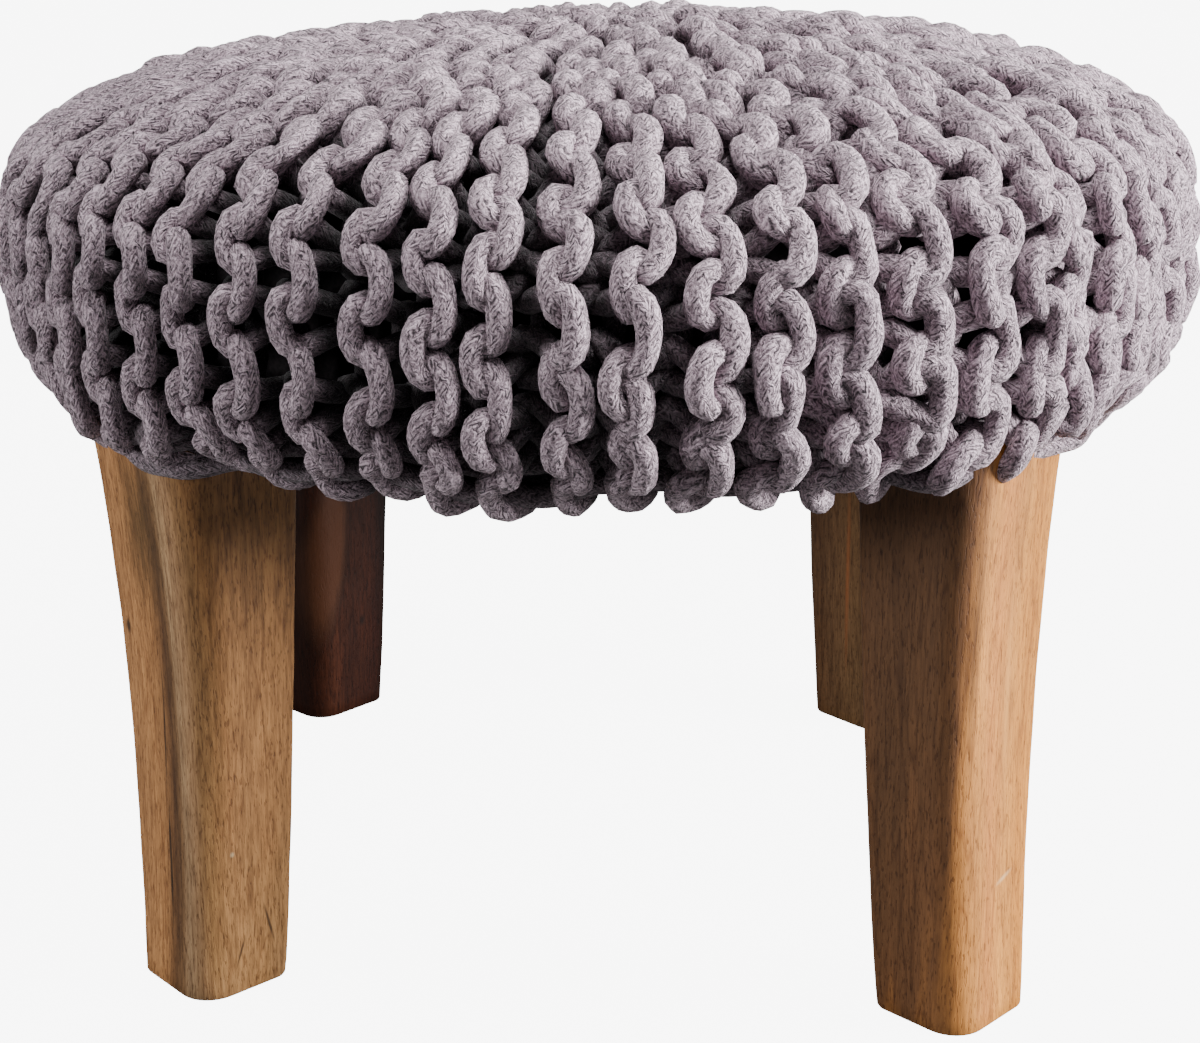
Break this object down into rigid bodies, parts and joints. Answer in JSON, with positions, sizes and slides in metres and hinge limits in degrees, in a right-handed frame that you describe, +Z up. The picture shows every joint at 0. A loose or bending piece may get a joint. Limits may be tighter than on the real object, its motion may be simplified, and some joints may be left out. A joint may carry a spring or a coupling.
{
  "type": "knitted pouf stool with wooden legs",
  "caption": "Low round footstool: a padded pouf seat in a chunky knitted cotton-cord cover with ridges running over the crown and down the sides, on carved wooden legs.",
  "frame": {"origin": "on the floor, under the middle of the stool", "axes": "+Z up, -Y towards the stool's front, +X to its right as seen from the front; the legs stand on the diagonals"},
  "size_m": [0.45, 0.4494, 0.341],
  "materials": {
    "cotton_cord": "matt braided cotton cord, mauve grey",
    "wood_brown": "satin mango wood, mid brown",
    "wood_golden": "satin mango wood, golden",
    "wood_dark": "satin mango wood, dark brown"
  },
  "bodies": {
    "root": {"knitted_seat": "cotton_cord", "leg_front_left": "wood_brown", "leg_front_right": "wood_golden", "leg_back_left": "wood_dark", "leg_back_right": "wood_dark"}
  },
  "joints": []
}
